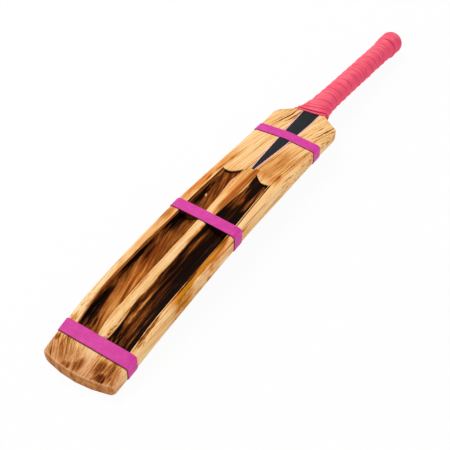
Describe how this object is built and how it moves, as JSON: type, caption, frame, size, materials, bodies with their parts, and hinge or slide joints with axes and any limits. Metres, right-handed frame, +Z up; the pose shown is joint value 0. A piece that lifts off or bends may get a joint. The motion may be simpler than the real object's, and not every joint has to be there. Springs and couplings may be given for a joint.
{
  "type": "tennis ball cricket bat",
  "caption": "Full-size bat for tennis ball cricket: flame-burnt willow blade scooped out behind, bound with tape bands, with a spliced cane handle and a wound grip.",
  "frame": {"origin": "middle of the bounding box's bottom, on the ground that the bat lies on", "axes": "+X along the bat from the toe to the knob, +Z up from the face that it lies on to the scooped back, +Y across the blade"},
  "size_m": [0.8676, 0.108, 0.0538],
  "materials": {
    "burnt_willow": "flame burnt, sealed, satin",
    "cane": "planed, unsealed",
    "strip_rubber": "matte",
    "glued_twine": "glued, matte",
    "grip_rubber": "satin",
    "grip_tape": "satin",
    "magenta_tape": "satin",
    "black_film": "satin",
    "pink_piping": "satin"
  },
  "bodies": {
    "root": {"blade": "burnt_willow", "butt_collar": "strip_rubber", "butt_end_plug": "grip_rubber", "cane_strip_back_left": "cane", "cane_strip_back_middle": "cane", "cane_strip_back_right": "cane", "cane_strip_face_left": "cane", "cane_strip_face_middle": "cane", "cane_strip_face_right": "cane", "cane_strip_lower_left": "cane", "cane_strip_lower_middle": "cane", "cane_strip_lower_right": "cane", "cane_strip_upper_left": "cane", "cane_strip_upper_middle": "cane", "cane_strip_upper_right": "cane", "grip_sleeve": "grip_rubber", "grip_wrap": "grip_tape", "middle_binding_band": "magenta_tape", "rubber_strip_back": "strip_rubber", "rubber_strip_face": "strip_rubber", "rubber_strip_middle": "strip_rubber", "shoulder_binding_band": "magenta_tape", "splice_cover": "black_film", "splice_piping_left": "pink_piping", "splice_piping_right": "pink_piping", "toe_binding_band": "magenta_tape", "twine_binding": "glued_twine"}
  },
  "joints": []
}
